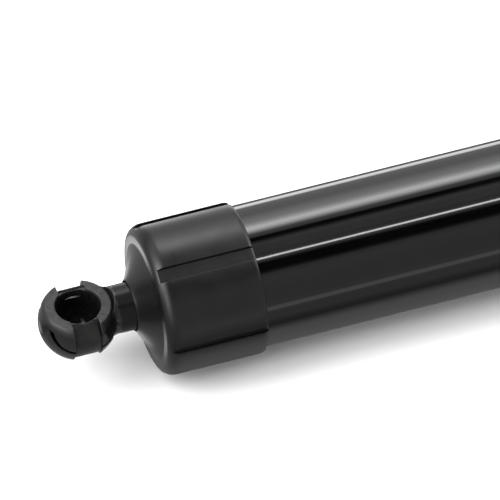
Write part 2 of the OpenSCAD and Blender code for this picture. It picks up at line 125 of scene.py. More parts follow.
def rounded(outline, radius, steps=4):
    """A closed outline with each corner turned into an arc of up to the given radius."""
    points = [np.array(p, float) for p in outline]
    made = []
    for before, corner, after in zip(points[-1:] + points[:-1], points, points[1:] + points[:1]):
        a, b = before - corner, after - corner
        la, lb = np.linalg.norm(a), np.linalg.norm(b)
        a, b = a / la, b / lb
        half = math.acos(max(-1, min(1, a @ b))) / 2
        if half > STRAIGHT_HALF:
            made.append(corner)
            continue
        r = min(radius, SIDE_SHARE * min(la, lb) * math.tan(half))
        centre = corner + (a + b) / np.linalg.norm(a + b) * r / math.sin(half)
        start = corner + a * r / math.tan(half) - centre
        end = corner + b * r / math.tan(half) - centre
        turn = math.atan2(start[0] * end[1] - start[1] * end[0], start @ end)
        for i in range(steps + 1):
            t = turn * i / steps
            c, s = math.cos(t), math.sin(t)
            arm = np.array([c * start[0] - s * start[1], s * start[0] + c * start[1]])
            made.append(centre + arm)
    return made


def grid_faces(rows, columns, flip=False):
    """Quads over rows of points, closed both ways."""
    faces = []
    for i in range(rows):
        for j in range(columns):
            here, there = i * columns, (i + 1) % rows * columns
            following = (j + 1) % columns
            a, b, c, d = here + j, here + following, there + j, there + following
            faces.append((a, c, d, b) if flip else (a, b, d, c))
    return faces


def tube_faces(rows, columns):
    """Quads along a tube of rows of points, and its two closed ends."""
    faces = []
    for i in range(rows - 1):
        for j in range(columns):
            a, b = i * columns + j, i * columns + (j + 1) % columns
            faces.append((a, a + columns, b + columns, b))
    faces.append(tuple(range(columns)))
    faces.append(tuple(reversed(range((rows - 1) * columns, rows * columns))))
    return faces


def recalculate(obj):
    """Turns all faces outwards."""
    bm = bmesh.new()
    bm.from_mesh(obj.data)
    bmesh.ops.recalc_face_normals(bm, faces=bm.faces)
    bm.to_mesh(obj.data)
    bm.free()


def turn_points(outline, segments):
    """Rows of points: the [along X, radius] outline at each angle round the X axis."""
    angles = np.arange(segments) * 2 * math.pi / segments
    return [(x, r * math.cos(t), r * math.sin(t)) for t in angles for x, r in outline]


def turned(name, outline, body, material, replaces, segments=192, radius=0.15):
    """A solid of revolution round X, from a closed outline of [along X, radius], its corners rounded."""
    outline = rounded(outline, radius)
    area = sum(a[0] * b[1] - b[0] * a[1] for a, b in zip(outline, outline[1:] + outline[:1]))
    faces = grid_faces(segments, len(outline), flip=area > 0)
    return mesh_object(name, turn_points(outline, segments), faces, body, replaces, material)


def at_end(points, lower):
    """Points as modelled at the upper end, or turned round to the lower end."""
    p = np.asarray(points, float)
    return np.column_stack([SPAN - p[:, 0], -p[:, 1], p[:, 2]]) if lower else p


# Materials

def grey(value, blue=None):
    """A grey, or one with a slightly different blue."""
    return (value, value, value if blue is None else blue)


def new_material(name, colour, rough, metal=0.0, specular=0.5):
    """A Principled material with its even values set on the shader, and its node tree."""
    mat = bpy.data.materials.new(name)
    mat.use_nodes = True
    tree = mat.node_tree
    shader = tree.nodes["Principled BSDF"]
    shader.inputs["Base Color"].default_value = (*colour, 1)
    shader.inputs["Roughness"].default_value = rough
    shader.inputs["Metallic"].default_value = metal
    shader.inputs["Specular IOR Level"].default_value = specular
    return mat, tree, shader


def add(tree, kind, **values):
    """A node with some of its inputs or properties set."""
    node = tree.nodes.new(kind)
    for key, value in values.items():
        if key in node.inputs:
            node.inputs[key].default_value = value
        else:
            setattr(node, key, value)
    return node


def object_coords(tree, stretch=(1, 1, 1)):
    """Object coordinates, scaled per axis."""
    coords = add(tree, "ShaderNodeTexCoord")
    mapping = add(tree, "ShaderNodeMapping")
    mapping.inputs["Scale"].default_value = stretch
    tree.links.new(coords.outputs["Object"], mapping.inputs["Vector"])
    return mapping.outputs["Vector"]


def noise(tree, vector, scale, detail=3.0, rough=0.55):
    """A noise texture's value."""
    node = add(tree, "ShaderNodeTexNoise")
    node.inputs["Scale"].default_value = scale
    node.inputs["Detail"].default_value = detail
    node.inputs["Roughness"].default_value = rough
    tree.links.new(vector, node.inputs["Vector"])
    return node.outputs["Fac"]


def map_range(tree, value, from_low, from_high, to_low, to_high, **settings):
    """A value mapped from one range to another."""
    node = add(tree, "ShaderNodeMapRange", **settings)
    node.inputs["From Min"].default_value = from_low
    node.inputs["From Max"].default_value = from_high
    node.inputs["To Min"].default_value = to_low
    node.inputs["To Max"].default_value = to_high
    tree.links.new(value, node.inputs["Value"])
    return node.outputs["Result"]


def spread(tree, value, low, high, start=0.3, end=0.7):
    """A value mapped from [start, end] to [low, high]."""
    return map_range(tree, value, start, end, low, high)


def rise(tree, value, start, end):
    """0 on start's side and 1 on end's side, smooth between the two."""
    ends = (start, end, 0, 1) if start < end else (end, start, 1, 0)
    return map_range(tree, value, *ends, interpolation_type="SMOOTHSTEP")


# A Mix node's sockets by number, because each kind of data has its own under the same name
MIX_FACTOR, MIX_NUMBERS, MIX_COLOURS, MIX_NUMBER_OUT, MIX_COLOUR_OUT = 0, (2, 3), (6, 7), 0, 2


def blend_colours(tree, factor, first, second):
    """A mix of two colours, each a tuple or a socket."""
    node = add(tree, "ShaderNodeMix", data_type="RGBA")
    tree.links.new(factor, node.inputs[MIX_FACTOR])
    for number, colour in zip(MIX_COLOURS, (first, second)):
        if isinstance(colour, tuple):
            node.inputs[number].default_value = (*colour, 1)
        else:
            tree.links.new(colour, node.inputs[number])
    return node.outputs[MIX_COLOUR_OUT]


def blend_values(tree, factor, first, second):
    """first + factor * (second - first), all sockets."""
    node = add(tree, "ShaderNodeMix", data_type="FLOAT")
    tree.links.new(factor, node.inputs[MIX_FACTOR])
    for number, value in zip(MIX_NUMBERS, (first, second)):
        tree.links.new(value, node.inputs[number])
    return node.outputs[MIX_NUMBER_OUT]


def math_node(tree, operation, *values):
    """A math node's result; each value is a socket or a number."""
    node = add(tree, "ShaderNodeMath", operation=operation)
    for socket, value in zip(node.inputs, values):
        if isinstance(value, (int, float)):
            socket.default_value = value
        else:
            tree.links.new(value, socket)
    return node.outputs[0]


def product(tree, first, *others):
    """The product of sockets and numbers."""
    for other in others:
        first = math_node(tree, "MULTIPLY", first, other)
    return first


def distance_from(tree, value, middle):
    """How far a value is from a middle, either way."""
    return math_node(tree, "ABSOLUTE", math_node(tree, "SUBTRACT", value, middle))


def add_values(tree, first, second, share):
    """first + share * second."""
    return math_node(tree, "MULTIPLY_ADD", second, share, first)


def split_axes(tree, vector):
    """A vector's X, Y and Z."""
    split = add(tree, "ShaderNodeSeparateXYZ")
    tree.links.new(vector, split.inputs["Vector"])
    return [split.outputs[axis] for axis in "XYZ"]


def bump(tree, shader, height, depth, strength=1.0):
    """Bump of a given depth in metres."""
    node = add(tree, "ShaderNodeBump", Strength=strength, Distance=depth)
    tree.links.new(height, node.inputs["Height"])
    tree.links.new(node.outputs["Normal"], shader.inputs["Normal"])


# How much of the grain is mixed into the patches, and the range of that mix in use
GRAIN_SHARE, MIX_RANGE = 0.35, (0.45, 0.9)


def varied(name, dark, light, rough, depth, scale, metal=0.0, stretch=(1, 1, 1), patch=90):
    """A material whose colour and roughness drift in patches, with a bumpy grain."""
    mat, tree, shader = new_material(name, light, sum(rough) / 2, metal)
    vector = object_coords(tree, stretch)
    patches = noise(tree, object_coords(tree), patch, 4.0)
    grain = noise(tree, vector, scale)
    blend = add_values(tree, patches, grain, GRAIN_SHARE)
    colour = blend_colours(tree, spread(tree, blend, 0, 1, *MIX_RANGE), dark, light)
    tree.links.new(colour, shader.inputs["Base Color"])
    tree.links.new(spread(tree, blend, *rough, *MIX_RANGE), shader.inputs["Roughness"])
    bump(tree, shader, grain, depth)
    return mat


# The ball socket and its strap, in millimetres from the ball's centre. The strap is a U of radius STRAP_R
# whose legs lean in by LEG_LEAN from BEND_H up to LEG_H.
SEAT_R, SOCKET_R, MOUTH_H, MOUTH_BEVEL, RIM_BEVEL, NECK_DROP = 5.05, 9.8, 5.2, 0.7, 0.15, 0.8
NECK_R, FILLET, STRAP_R = 6.08, 3.3, 9.15
# The dressed ball is a little fatter and lower than the solid
BALL_R, BALL_Z = 10.0, -0.3
CHANNEL_DEPTH, CHANNEL_EDGE, BEND_H, LEG_H, LEG_LEAN = 0.6, 3.35, 1.0, 4.7, 2.85
NECK_STEP, MOUTH_R, MOUTH_DEPTH = 9.1, 5.85, 1.8
WINDOW_X, TAB_H, WINDOW_H = 3.0, 2.45, 0.7
SLOT_R, SLOT_W, SLOT_DEPTH, SLOT_Z, SLOT_END, SLOT_TOP = 4.9, 0.8, 1.0, 3.2, 6.85, 3.0
ROD_HOLE_R, ROD_HOLE_START = 4.05, NECK_END - 11.5
RIM_R = math.sqrt(SOCKET_R ** 2 - MOUTH_H ** 2)
LEAN = math.atan(LEG_LEAN / (LEG_H - BEND_H))
FILLET_X = math.sqrt((SOCKET_R + FILLET) ** 2 - (NECK_R + FILLET) ** 2)

# Where the finish changes, in millimetres: the socket's heights, where its neck starts along X, the
# strap's distance from the middle plane at the tabs' ends, and the heights of its sheared edge
# RIM_FLAT gives the heights where the rim's top is painted lighter grey, partly worn frosting and partly
# painted light from above
RIM_FLAT, MATTE_TOP, NECK_FROM = (MOUTH_H - 0.13, MOUTH_H - 0.03), (2.4, 4.4), (9.2, 9.8)
TAB_BARE, SHEARED_EDGE = (SEAT_R + 0.1, SEAT_R + 0.3), (LEG_H - 0.2, LEG_H - 0.1)


def gloss_paint():
    """Deep black paint on a drawn tube: faint lengthwise lines and a very fine orange peel."""
    mat, tree, shader = new_material("gloss_black_paint", grey(0.0008), 0.06)
    lines = noise(tree, object_coords(tree, (0.01, 1, 1)), 900, 2.0)
    peel = noise(tree, object_coords(tree), 450, 1.0)
    patches = noise(tree, object_coords(tree), 60, 5.0)
    colour = blend_colours(tree, spread(tree, patches, 0, 1), grey(0.0005), grey(0.0012))
    tree.links.new(colour, shader.inputs["Base Color"])
    tree.links.new(spread(tree, patches, 0.045, 0.065), shader.inputs["Roughness"])
    bump(tree, shader, add_values(tree, peel, lines, 0.8), 0.0000025)
    return mat


def cap_plastic():
    """Black moulded plastic with an eroded grain and a satin gloss, its reflection turned down on the
    grooves' walls as painted shade.
    """
    mat, tree, shader = new_material("grained_cap_plastic", grey(0.002), 0.32, specular=0.4)
    vector = object_coords(tree)
    grain = noise(tree, vector, 2600, 3.0, 0.6)
    patches = noise(tree, vector, 110, 5.0)
    # Painted shade: the grooves' walls reflect almost nothing, so each groove's edge shows a dark line
    wall = add(tree, "ShaderNodeAttribute", attribute_name="wall").outputs["Fac"]
    tree.links.new(spread(tree, wall, 0.4, 0.03, 0, 1), shader.inputs["Specular IOR Level"])
    colour = blend_colours(tree, spread(tree, patches, 0, 1), grey(0.0015), grey(0.004, 0.0039))
    tree.links.new(colour, shader.inputs["Base Color"])
    rough = spread(tree, add_values(tree, patches, grain, 0.4), 0.27, 0.37, 0.5, 0.9)
    tree.links.new(rough, shader.inputs["Roughness"])
    bump(tree, shader, grain, 0.000012, 0.5)
    return mat


def socket_plastic():
    """Glass-filled black plastic: satin low on the ball, matte above, rough on the rims, whose flat tops are
    painted lighter grey, partly as worn frosting and partly as painted light from above.
    """
    mat, tree, shader = new_material("glass_filled_plastic", grey(0.008), 0.24)
    vector = object_coords(tree)
    grain = noise(tree, vector, 2200, 3.0, 0.6)
    fibres = noise(tree, vector, 1100, 6.0, 0.7)
    x, _, z = split_axes(tree, vector)
    rim, seat = (add(tree, "ShaderNodeAttribute", attribute_name=name).outputs["Fac"]
                 for name in ("rim", "seat"))
    # The rim's flat top is painted lighter grey: partly worn frosting, partly painted light from above
    flat = product(tree, spread(tree, z, 0, 1, *(h * MM for h in RIM_FLAT)), rim)
    worn_and_painted_light = product(tree, flat, spread(tree, fibres, 0.25, 1.0, 0.38, 0.62))
    side = blend_colours(tree, spread(tree, fibres, 0, 1), grey(0.002), grey(0.006, 0.0058))
    tree.links.new(blend_colours(tree, worn_and_painted_light, side, grey(0.033, 0.032)), shader.inputs["Base Color"])

    # Matte towards the ball's top and glossier in the seat, with a dull neck. The seat's reflection is turned
    # down as painted shade in the recess
    from_middle = distance_from(tree, x, SPAN / 2 * MM)
    neck = spread(tree, from_middle, 1, 0, (SPAN / 2 - NECK_FROM[1]) * MM, (SPAN / 2 - NECK_FROM[0]) * MM)
    matte = math_node(tree, "SUBTRACT", spread(tree, z, 0, 0.45, *(h * MM for h in MATTE_TOP)), neck)
    matte = math_node(tree, "SUBTRACT", matte, seat)
    matte = math_node(tree, "MAXIMUM", matte, product(tree, neck, 0.25))
    rough = spread(tree, math_node(tree, "MAXIMUM", flat, matte), 0.14, 0.75, 0, 1)
    tree.links.new(rough, shader.inputs["Roughness"])
    # Painted shade: the seat's reflection is turned down to darken the recess, and the neck's reflection is
    # lowered too
    dull = math_node(tree, "MAXIMUM", seat, product(tree, neck, 0.8))
    tree.links.new(spread(tree, dull, 0.5, 0.12, 0, 1), shader.inputs["Specular IOR Level"])
    bump(tree, shader, add_values(tree, grain, fibres, 0.8), 0.00002, 0.5)
    return mat


def strap_steel():
    """Phosphated strip, dull on its sheared upper edges and bare at the tabs' ends."""
    mat, tree, shader = new_material("phosphated_spring_steel", grey(0.02), 0.35, metal=0.5, specular=0.38)
    vector = object_coords(tree)
    patches = noise(tree, vector, 300, 4.0)
    grain = noise(tree, vector, 1800)
    _, y, z = split_axes(tree, vector)
    from_middle = math_node(tree, "ABSOLUTE", y)
    bare = spread(tree, from_middle, 1, 0, *(d * MM for d in TAB_BARE))
    edge = spread(tree, z, 0, 1, *(h * MM for h in SHEARED_EDGE))
    tone = blend_colours(tree, spread(tree, patches, 0, 1), grey(0.008), grey(0.022, 0.021))
    tree.links.new(blend_colours(tree, bare, tone, grey(0.5, 0.49)), shader.inputs["Base Color"])
    rough = spread(tree, add_values(tree, patches, grain, GRAIN_SHARE), 0.28, 0.4, *MIX_RANGE)
    rough = add_values(tree, add_values(tree, rough, edge, 0.35), bare, 0.2)
    tree.links.new(rough, shader.inputs["Roughness"])
    bump(tree, shader, grain, 0.000008)
    return mat


PAINT = gloss_paint()
CAP = cap_plastic()
SOCKET = socket_plastic()
CLIP = strap_steel()
TURNED = varied("turned_steel", grey(0.32, 0.33), grey(0.5, 0.51), (0.25, 0.4), 0.000006, 1500,
                metal=1.0, stretch=(3, 0.3, 0.3), patch=150)
ZINC = varied("bright_zinc", grey(0.45, 0.47), grey(0.68, 0.7), (0.22, 0.36), 0.000008, 700, metal=1.0)
SPRING = varied("oil_tempered_steel", grey(0.06, 0.065), grey(0.17, 0.18), (0.28, 0.42), 0.000008, 2500,
                metal=1.0, stretch=(0.06, 1, 1), patch=180)
NYLON = varied("black_nylon", grey(0.012), grey(0.024), (0.38, 0.5), 0.00001, 1500)
NATURAL = varied("natural_nylon", (0.6, 0.57, 0.49), (0.72, 0.69, 0.61), (0.35, 0.5), 0.00001, 1200)
CHROME = varied("hard_chrome", grey(0.62, 0.63), grey(0.72, 0.73), (0.05, 0.1), 0.0000008, 3000,
                metal=1.0, stretch=(1, 0.2, 0.2))
RUBBER = varied("nitrile_rubber", grey(0.008), grey(0.018), (0.55, 0.75), 0.000015, 1600)
ALLOY = varied("sintered_alloy", grey(0.42, 0.44), grey(0.62, 0.64), (0.42, 0.6), 0.00003, 2600, metal=1.0)
COATED = varied("satin_black_paint", grey(0.008), grey(0.016), (0.25, 0.35), 0.000006, 700)
BRASS = varied("turned_brass", (0.45, 0.33, 0.12), (0.68, 0.52, 0.22), (0.22, 0.36), 0.000006, 1500,
               metal=1.0, stretch=(3, 0.3, 0.3))
SLOT_MATERIAL = {
    "socket_plastic": SOCKET, "clip_steel": CLIP, "cap_plastic": CAP, "gloss_tube": PAINT,
    "turned_steel": TURNED, "zinc_steel": ZINC, "spring_steel": SPRING, "black_nylon": NYLON,
    "natural_nylon": NATURAL, "rod_chrome": CHROME, "seal_rubber": RUBBER, "piston_alloy": ALLOY,
    "coated_tube": COATED, "guide_brass": BRASS,
}
for part in frame["record"]["subparts"]:
    for material_slot in frame["nodes"][part["node"]].material_slots:
        material_slot.material = SLOT_MATERIAL[part["material_slot"]]


# Ball sockets

def round_max(a, b, r):
    """Keeps what is inside both, with the edge rounded to radius r."""
    u, v = np.maximum(r + a, 0), np.maximum(r + b, 0)
    return np.minimum(-r, np.maximum(a, b)) + np.hypot(u, v)


def cut(a, b, r):
    """a without b, with the edge rounded."""
    return round_max(a, -b, r)


# Radii of the socket's rounded edges, and how far the channel reaches above the strap's tips
EDGE_R, CHANNEL_EDGE_R, WINDOW_EDGE_R, HOLE_EDGE_R, ABOVE_TIP = 0.12, 0.28, 0.06, 0.1, 0.1


def socket_distance(p):
    """Signed distance from the socket's surface, in millimetres, for points given as rows."""
    x, y, z = p[:, 0], p[:, 1], p[:, 2]
    away = np.sqrt(x * x + y * y + z * z)
    from_x = np.hypot(y, z)
    from_z = np.hypot(x, y)
    ball = np.sqrt(x * x + y * y + (z - BALL_Z) ** 2) - BALL_R
    neck = np.maximum(np.maximum(from_x - NECK_R, -x), x - NECK_END)
    to_fillet = np.hypot(x - FILLET_X, from_x - NECK_R - FILLET)
    inner_side = (NECK_R + FILLET) * x - FILLET_X * from_x > 0
    in_fillet = inner_side & (x < FILLET_X) & (from_x < NECK_R + FILLET)
    body = np.where(in_fillet, FILLET - to_fillet, np.minimum(ball, neck))

    # Above the rim only the neck stays, with a step next to the rim
    bevel = (RIM_R + MOUTH_H - RIM_BEVEL - from_z - z) / math.sqrt(2)
    above = np.minimum(MOUTH_H - z, np.maximum(bevel, MOUTH_H - NECK_DROP - z))
    body = cut(body, np.maximum(above, from_z - NECK_STEP), EDGE_R)

    # The seat, and the cone that opens its mouth
    cavity = np.where(z < 0, away, from_z) - SEAT_R
    lean_in = (MOUTH_H - z) * MOUTH_BEVEL / MOUTH_DEPTH
    cone = (from_z - MOUTH_R + lean_in) / math.hypot(1, MOUTH_BEVEL / MOUTH_DEPTH)
    body = cut(body, np.minimum(cavity, cone), EDGE_R)

    # The strap's channel: outside a U that leans inwards at its top
    floor_y = STRAP_R - CHANNEL_DEPTH
    turn_z = BEND_H - CHANNEL_DEPTH * math.tan(LEAN / 2)
    inside = np.where(z < 0, from_x, np.abs(y)) - floor_y
    lean = (np.abs(y) - floor_y) * math.cos(LEAN) + (z - turn_z) * math.sin(LEAN)
    inside = np.maximum(np.maximum(inside, lean), z - LEG_H - ABOVE_TIP)
    channel = np.maximum(np.abs(x) - CHANNEL_EDGE, -inside)
    body = cut(body, channel, CHANNEL_EDGE_R)

    # The windows that the strap's tabs reach through
    window = np.maximum(np.abs(x) - WINDOW_X, np.abs(y) - STRAP_R)
    window = np.maximum(window, np.abs(z - TAB_H) - WINDOW_H / 2)
    body = cut(body, window, WINDOW_EDGE_R)

    # Curved relief slots on both sides of the channel
    for side, end in ((-1, SOCKET_R + 1), (1, SLOT_END)):
        ring = np.abs(np.hypot(x - side * CHANNEL_EDGE, z - SLOT_Z) - SLOT_R) - SLOT_W / 2
        slot = np.maximum(ring, SOCKET_R - SLOT_DEPTH - away)
        ends = np.maximum(CHANNEL_EDGE - side * x, side * x - end)
        slot = np.maximum(np.maximum(slot, z - SLOT_TOP), ends)
        body = cut(body, slot, EDGE_R)

    rod_hole = np.maximum(from_x - ROD_HOLE_R, ROD_HOLE_START - x)
    return cut(body, rod_hole, HOLE_EDGE_R)


# The step over which a distance's slope is taken, the least square of a slope, and how often points move
SLOPE_STEP, LEAST_SLOPE, MOVES = 0.02, 0.25, 4


def net(distance, low, high, step):
    """Points and quads of the surface where distance is zero, by surface nets."""
    axes = [np.arange(a, b + step, step) for a, b in zip(low, high)]
    shape = tuple(len(a) for a in axes)
    field = np.empty(shape, np.float32)
    for i, x in enumerate(axes[0]):
        yy, zz = np.meshgrid(axes[1], axes[2], indexing="ij")
        rows = np.column_stack([np.full(yy.size, x), yy.ravel(), zz.ravel()])
        field[i] = distance(rows).reshape(shape[1:])
    inside = field < 0
    cells = tuple(n - 1 for n in shape)
    total = np.zeros(cells, np.int8)
    for dx in (0, 1):
        for dy in (0, 1):
            for dz in (0, 1):
                total += inside[dx:dx + cells[0], dy:dy + cells[1], dz:dz + cells[2]]
    crossed = (total > 0) & (total < 8)
    number = np.full(cells, -1, np.int64)
    places = np.argwhere(crossed)
    number[crossed] = np.arange(len(places))
    points = np.column_stack([axes[k][places[:, k]] + step / 2 for k in range(3)])

    quads = []
    for axis in range(3):
        first = [slice(1, n - 1) for n in shape]
        first[axis] = slice(0, shape[axis] - 1)
        second = list(first)
        second[axis] = slice(1, shape[axis])
        here, there = inside[tuple(first)], inside[tuple(second)]
        crossing = np.argwhere(here != there)
        crossing += [0 if k == axis else 1 for k in range(3)]
        starts_inside = inside[tuple(crossing.T)]
        u, v = [(1, 2), (2, 0), (0, 1)][axis]
        corners = []
        for du, dv in ((0, 0), (1, 0), (1, 1), (0, 1)):
            cell = crossing.copy()
            cell[:, u] -= du
            cell[:, v] -= dv
            corners.append(number[tuple(cell.T)])
        corners = np.column_stack(corners)
        corners[~starts_inside] = corners[~starts_inside][:, ::-1]
        quads.append(corners)
    quads = np.concatenate(quads)
    quads = quads[(quads >= 0).all(axis=1)]

    # Each point moves onto the surface along the distance's slope
    shifts = SLOPE_STEP * np.eye(3)
    for _ in range(MOVES):
        value = distance(points)
        slope = np.column_stack([distance(points + shift) - distance(points - shift) for shift in shifts])
        slope = slope / (2 * SLOPE_STEP)
        size = np.maximum((slope ** 2).sum(axis=1), LEAST_SLOPE)
        points = points - np.clip(value / size, -step / 2, step / 2)[:, None] * slope
    return points, quads


NET_STEP, QUICK_NET_STEP = 0.16, 0.35
# How far outside its radius, and below the rim, a point still counts as the seat's
SEAT_OUTSIDE, SEAT_BELOW = 0.5, 0.25


def add_ball_sockets():
    """Both sockets. Their material reads which points are on the rim and which are in the seat."""
    step = NET_STEP
    low = (-BALL_R - step, -BALL_R - step, BALL_Z - BALL_R - step)
    high = (NECK_END + step, BALL_R + step, NECK_R + step)
    points, quads = net(socket_distance, low, high, step)
    from_z = np.hypot(points[:, 0], points[:, 1])
    rim = from_z < (NECK_STEP + RIM_R) / 2
    seat = (from_z < SEAT_R + SEAT_OUTSIDE) & (np.abs(points[:, 2]) < MOUTH_H - SEAT_BELOW)
    for end, body in BOTH_ENDS:
        obj = mesh_object(f"{end}_socket_moulding", at_end(points, end == "lower"), quads.tolist(), body,
                          [f"{end}_ball_socket"], SOCKET, angle=60)
        for name, values in (("rim", rim), ("seat", seat)):
            layer = obj.data.attributes.new(name, "FLOAT", "POINT")
            layer.data.foreach_set("value", values.astype(np.float32))


# Socket clips

STRAP_T, STRAP_W, TAB_W, TAB_GAP, TAB_INTO_LEG = 0.5, 6.5, 5.8, 0.02, 0.1
STRAP_EDGE_R, TAB_EDGE_R = 0.14, 0.1
# How far each side of a leg's bend is softened, and how far the tips stand out from the channel's floor
BEND_REACH, TIP_OUT = 0.9, 0.05


def strap_path():
    """The strap's middle line as [y, z], from one leg's tip round below to the other's."""
    middle = STRAP_R - STRAP_T / 2
    bend_z = BEND_H - STRAP_T / 2 * math.tan(LEAN / 2)
    tip_y = middle - (LEG_H - bend_z) * math.tan(LEAN) + TIP_OUT
    side = [(tip_y, LEG_H)]
    for t in np.linspace(-1, 1, 9):
        along = t * BEND_REACH
        if t < 0:
            side.append((middle + along * math.sin(LEAN), bend_z - along * math.cos(LEAN)))
        else:
            side.append((middle, bend_z - along))
    smooth = [side[0]]
    for k in range(1, len(side) - 1):
        smooth.append(tuple((side[k - 1][i] + 2 * side[k][i] + side[k + 1][i]) / 4 for i in (0, 1)))
    smooth.append(side[-1])
    below = [(middle * math.cos(t), middle * math.sin(t)) for t in np.linspace(0, -math.pi, 49)]
    right = smooth + below
    return right + [(-y, z) for y, z in reversed(smooth)]


def rounded_box(low, high, r, steps=3):
    """Points and faces of a box with rounded edges, as a deformed grid."""
    low, high = np.array(low, float), np.array(high, float)
    centre, half = (low + high) / 2, (high - low) / 2
    inset = r * (1 - np.cos(np.linspace(0, math.pi / 2, steps + 1)))
    lines = [np.unique(np.concatenate([-h + inset, h - inset])) for h in half]
    index, points, faces = {}, [], []

    def point(i, j, k):
        if (i, j, k) not in index:
            p = np.array([lines[0][i], lines[1][j], lines[2][k]])
            core = np.clip(p, -half + r, half - r)
            off = p - core
            size = np.linalg.norm(off)
            index[i, j, k] = len(points)
            points.append(centre + core + (off / size * r if size > 0 else off))
        return index[i, j, k]

    n = [len(line) - 1 for line in lines]
    for axis in range(3):
        u, v = [(1, 2), (2, 0), (0, 1)][axis]
        for end in (0, n[axis]):
            for a in range(n[u]):
                for b in range(n[v]):
                    corner = []
                    for da, db in ((0, 0), (1, 0), (1, 1), (0, 1)):
                        key = [0, 0, 0]
                        key[axis], key[u], key[v] = end, a + da, b + db
                        corner.append(point(*key))
                    faces.append(tuple(corner if end else corner[::-1]))
    return points, faces


def add_clips():
    """Both clips: a strip along the strap's path, and a tab on each leg."""
    path = np.array(strap_path())
    ahead = np.gradient(path, axis=0)
    ahead /= np.linalg.norm(ahead, axis=1)[:, None]
    out = np.column_stack([-ahead[:, 1], ahead[:, 0]])
    half_w, half_t = STRAP_W / 2, STRAP_T / 2
    corners = [(-half_w, -half_t), (half_w, -half_t), (half_w, half_t), (-half_w, half_t)]
    section = rounded(corners, STRAP_EDGE_R, 3)
    points = []
    for on_path, normal in zip(path, out):
        for across, up in section:
            y, z = on_path + normal * up
            points.append((across, y, z))
    faces = tube_faces(len(path), len(section))
    leg_y = STRAP_R - STRAP_T / 2 / math.cos(LEAN) - (TAB_H - BEND_H) * math.tan(LEAN)
    for side in (-1, 1):
        near, far = sorted((side * (SEAT_R + TAB_GAP), side * (leg_y + TAB_INTO_LEG)))
        low, high = (-TAB_W / 2, near, TAB_H - half_t), (TAB_W / 2, far, TAB_H + half_t)
        more, quads = rounded_box(low, high, TAB_EDGE_R)
        start = len(points)
        points += [tuple(p) for p in more]
        faces += [tuple(start + k for k in q) for q in quads]
    for end, body in BOTH_ENDS:
        obj = mesh_object(f"{end}_spring_clip", at_end(points, end == "lower"), faces, body,
                          [f"{end}_socket_clip"], CLIP)
        recalculate(obj)


# End caps

# The gap round the neck, the solid's face and shoulder as far as the inside follows them, and the walls
NECK_GAP, CAP_NOSE, SHOULDER_R, CAP_WALL, FACE_WALL = 0.4, 4.2, 3.4, 1.25, 2.0
# The grooves' middles and width in degrees, their depth, and how much of the sleeve's taper they follow
GROOVES, GROOVE_ANGLE, GROOVE_DEPTH, GROOVE_DROP = (6.4, 66.3, 129.5, 187.0, 246.0, 306.0), 10.8, 0.78, 0.4
FACE_POWER, FACE_STEPS, SHOULDER_STEPS, GROOVE_STEPS, BETWEEN_STEPS = 0.8, 26, 18, 9, 32
# Small roundings at the hole and at the sleeve's inner edge, the hole's straight length, and the cap's
# clearance on its tube
HOLE_EDGE, INNER_EDGE, HOLE_LEN, CAP_CLEAR = [(0.15, 0), (0.03, 0.06)], 0.1, 0.5, 0.05
# The face's length, and the flat ring between it and the shoulder: its width, how far its outer edge lies
# back, and the shoulder's rise from there
FACE_LEN, LAND, LAND_FALL, SHOULDER_RISE = 4.1, 1.9, 0.06, 2.5
# Where points lie on the flat ring and on the sleeve, as shares of their lengths
LAND_RINGS, SLEEVE_RINGS = (0.1, 0.4, 0.7, 1), (0.05, 0.4, 0.8)
# How far the sleeve's end falls, as [distance from the end, drop]
SLEEVE_TAPER = [(1.6, 0), (1.1, 0.03), (0.7, 0.09), (0.4, 0.19), (0.2, 0.33), (0.06, 0.52), (0, 0.75)]
# A groove's rounded edge and wall, as [distance along the surface, share of the depth]
WALL_FROM = 0.14
GROOVE_EDGE = [
    (-0.12, 0), (-0.07, 0.012), (-0.03, 0.04), (-0.008, 0.08), (0, WALL_FROM), (0.015, 0.86), (0.06, 0.95),
    (0.16, 1),
]


def cap_outline(sleeve_ir):
    """The cap's closed outline, and the outline of the same points inside a groove."""
    sleeve_r = sleeve_ir + CAP_WALL
    hole_r = NECK_R + NECK_GAP
    edge_r = sleeve_r - SHOULDER_R
    start = CAP_START + CAP_NOSE + SHOULDER_R
    top = [(CAP_START + along, hole_r + out) for along, out in HOLE_EDGE]
    land_x, land_r = CAP_START + FACE_LEN, sleeve_r - SHOULDER_RISE - LAND
    for i in range(1, FACE_STEPS + 1):
        t = i / FACE_STEPS
        top.append((CAP_START + (land_x - CAP_START) * t ** FACE_POWER, hole_r + (land_r - hole_r) * t))
    top += [(land_x + LAND_FALL * t, land_r + LAND * t) for t in LAND_RINGS]
    for i in range(1, SHOULDER_STEPS + 1):
        t = math.pi / 2 * i / SHOULDER_STEPS
        back = (start - land_x - LAND_FALL) * math.cos(t)
        top.append((start - back, sleeve_r - SHOULDER_RISE * (1 - math.sin(t))))
    top += [(start + (CAP_END - start) * t, sleeve_r) for t in SLEEVE_RINGS]
    top += [(CAP_END - back, sleeve_r - drop) for back, drop in SLEEVE_TAPER]
    rest = [
        (CAP_END, sleeve_ir + INNER_EDGE), (CAP_END - INNER_EDGE, sleeve_ir),
        (start, sleeve_ir), (start, edge_r),
        (CAP_START + CAP_NOSE + FACE_WALL, edge_r - FACE_WALL),
        (CAP_START + CAP_NOSE / 2 + FACE_WALL, hole_r + FACE_WALL), (NECK_END, hole_r + FACE_WALL),
        (NECK_END, hole_r), (CAP_START + HOLE_LEN, hole_r),
    ]
    low = []
    for x, r in top:
        groove_r = sleeve_r - GROOVE_DEPTH
        if x > start:
            groove_r -= GROOVE_DROP * max(0, sleeve_r - r)
        low.append((x, min(r, groove_r)))
    return top + rest, low + rest


